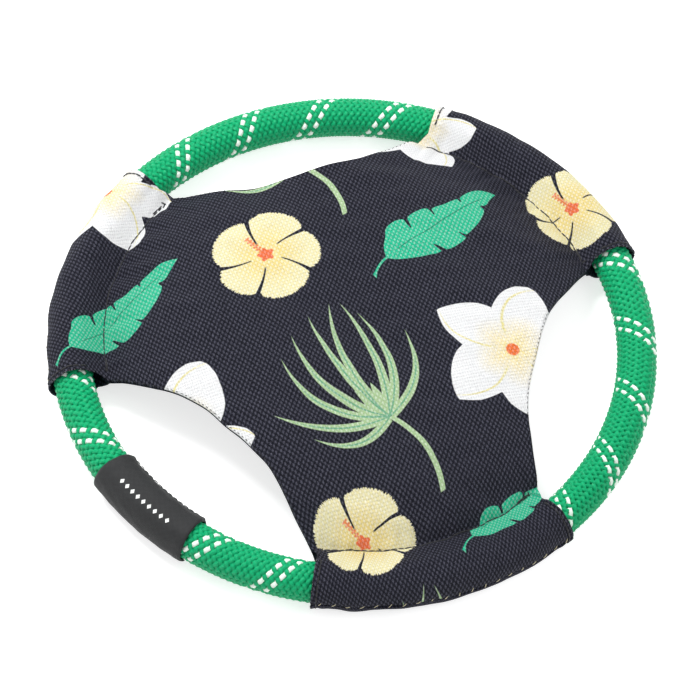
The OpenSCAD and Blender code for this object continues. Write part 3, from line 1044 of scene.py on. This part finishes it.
bean = join(stitches, "GeometryNodeSetShadeSmooth", bean, True, True)
up_way = join(stitches, "GeometryNodeInputNamedAttribute", "up", data_type="FLOAT_VECTOR")
tangent = join(stitches, "GeometryNodeInputTangent")
turn = join(stitches, "FunctionNodeAlignRotationToVector", None, 1.0, up_way, axis="Z")
turn = join(stitches, "FunctionNodeAlignRotationToVector", turn, 1.0, tangent, axis="X",
            pivot_axis="Z")
sway = join(stitches, "FunctionNodeRandomValue", into["Sway"] * -1, into["Sway"], None,
            into["Seed"], data_type="FLOAT")
slant = join(stitches, "ShaderNodeCombineXYZ", 0.0, 0.0, into["Slant"] + sway)
slant = join(stitches, "FunctionNodeEulerToRotation", slant)
turn = join(stitches, "FunctionNodeRotateRotation", turn, slant, rotation_space="LOCAL")
laid = join(stitches, "GeometryNodeInstanceOnPoints", row, True, bean, None, None, turn, None)
finish_tree(stitches, laid, into["Material"])


def thread_material(name, dark, light):
    material, tree, shader = material_named(name)
    at, grain = object_grain(tree, 2500.0, 2.0)
    xyz = join(tree, "ShaderNodeSeparateXYZ", at)
    twist = ((xyz + xyz.part("Y") + xyz.part("Z")) * 14000 + grain * 3).math("SINE") * 0.5 + 0.5
    colour = mix(tree, twist * grain, dark, light)
    paint(tree, shader, colour, twist, 0.00004, 0.5)
    return material


black_thread = thread_material("black_thread", srgb(6, 6, 8), srgb(44, 44, 50))
cream_thread = thread_material("cream_thread", srgb(196, 186, 150), srgb(248, 242, 214))


def on_layer(layer, flat, lift):
    """Places points on a layer's outer face, and finds which way is out there."""
    tiny = 0.00005
    spot = layer.place(flat, half_t + lift)
    step_x = layer.place(flat + [tiny, 0], half_t) - layer.place(flat - [tiny, 0], half_t)
    step_y = layer.place(flat + [0, tiny], half_t) - layer.place(flat - [0, tiny], half_t)
    up = np.cross(step_x, step_y) * layer.side
    return spot, up / np.linalg.norm(up, axis=1)[:, None]


def stitch_row(name, spots, ups, material, **values):
    """One row of stitches along a line of points, as one mesh."""
    piece = new_piece(name, [], [], material)
    mesh = bpy.data.meshes.new(name)
    mesh.from_pydata([tuple(p) for p in spots], [(i, i + 1) for i in range(len(spots) - 1)], [])
    piece.data = mesh
    store(piece, "up", ups)
    settings = {"Stitch Length": 0.0030, "Thread": 0.00058, "Pitch": 0.0028, "Arch": 0.0003,
                "Slant": 0.0, "Sway": 0.06, "Seed": 1, "Material": material}
    settings.update({key.replace("_", " "): value for key, value in values.items()})
    run_tree(piece, stitches, settings)
    "pale_thread" if material == cream_thread else "dark_thread"
    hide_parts(name)
    return piece


def polar_cut(rho, angles):
    rho = rho + 0 * angles
    return np.stack([rho * np.cos(angles), rho * np.sin(angles)], -1)


for seed, (arm, middle) in enumerate(arms.items()):
    # The row is sewn back over itself for a few stitches at both ends
    way = np.concatenate([
        np.linspace(-0.86, -1, 20), np.linspace(-1, 1, 240)[1:], np.linspace(1, 0.89, 20)[1:],
    ])
    angles = middle + way * (arm_half - 0.0012 / ring_r)
    doubled = np.where(np.arange(len(way)) < 20, 1.0, 0.0) - (np.arange(len(way)) > 259)
    drawn = top.seam + 0.00025 * waves(40 + seed, 0.02)(angles * ring_r, 0 * angles)
    drawn = drawn + doubled * 0.0005
    spots, ups = on_layer(top, polar_cut(drawn, angles), 0.00015)
    row_piece = stitch_row(f"casing_seam_{arm}", spots, ups, black_thread, Seed=seed + 1)
    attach(row_piece, "panel")

for seed, (window, middle) in enumerate(windows.items()):
    u = np.linspace(-0.93, 0.93, 400)
    rho = top.rho_at(window_edge(u)) - 0.0003
    spots, ups = on_layer(top, polar_cut(rho, middle + u * window_half), 0.00002)
    row_piece = stitch_row(f"window_seam_{window}", spots, ups, black_thread, Seed=seed + 11,
                           Stitch_Length=0.0010, Thread=0.00026, Pitch=0.0021, Arch=0.00015,
                           Sway=0.3)
    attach(row_piece, "panel")

mouths = {
    "front_left": (arms["front"], -1), "front_right": (arms["front"], 1),
    "right_front": (arms["right"], -1), "right_back": (arms["right"], 1),
    "left_back": (arms["left"], -1), "left_front": (arms["left"], 1),
}
for seed, (mouth, (middle, side)) in enumerate(mouths.items()):
    at = middle + side * (arm_half - 0.0018 / ring_r)
    rho = np.linspace(top.touch + math.radians(5) * tube_mid, top.out - 0.0001, 80)
    spots, ups = on_layer(top, polar_cut(rho, np.full(80, at)), 0.00022)
    low_rho = np.linspace(under.out - 0.0001, under.out - math.radians(13) * tube_mid, 10)
    low_spots, low_ups = on_layer(under, polar_cut(low_rho, np.full(10, at)), 0.00022)
    row_piece = stitch_row(f"mouth_seam_{mouth}", np.concatenate([spots, low_spots]),
                           np.concatenate([ups, low_ups]), black_thread, Seed=seed + 21,
                           Pitch=0.0026, Stitch_Length=0.0025)
    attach(row_piece, "panel")

# Closing stitches: slanted cream polyester thread, sewn through both layers along the outer edge
# of each casing after the rope is in, one row for each arm.
for seed, (arm, middle) in enumerate(arms.items()):
    angles = middle + np.linspace(-1, 1, 160) * (arm_half - 0.0032 / ring_r)
    spots, ups = on_layer(top, polar_cut(top.out, angles), 0.00006)
    row_piece = stitch_row(f"closing_seam_{arm}", spots, ups, cream_thread, Seed=seed + 31,
                           Stitch_Length=0.0020, Thread=0.00024, Pitch=0.0052, Slant=1.0, Sway=0.5)
    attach(row_piece, "panel")

# Sleeve stitches: one row of black polyester thread that holds the sleeve's lap shut, sewn high on
# its inner side and left a little short of both ends.
lap_section = lap_at + 0.12
lap_r = 0.00945
lap_count = 90
lap_angles = joint_at + np.linspace(-1, 1, lap_count) * (sleeve_half - 0.0015 / ring_r)
lap_out = np.array([np.cos(lap_section), np.sin(lap_section)])
lap_reach = ring_r + lap_r * lap_out[0]
lap_spots = np.stack([lap_reach * np.cos(lap_angles), lap_reach * np.sin(lap_angles),
                      np.full(lap_count, rope_z + lap_r * lap_out[1])], -1)
lap_ups = np.stack([lap_out[0] * np.cos(lap_angles), lap_out[0] * np.sin(lap_angles),
                    np.full(lap_count, lap_out[1])], -1)
lap_row = stitch_row("label_seam", lap_spots, lap_ups, black_thread, Seed=51,
                     Stitch_Length=0.0022, Thread=0.0004, Pitch=0.0026)
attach(lap_row, "rope_ring")
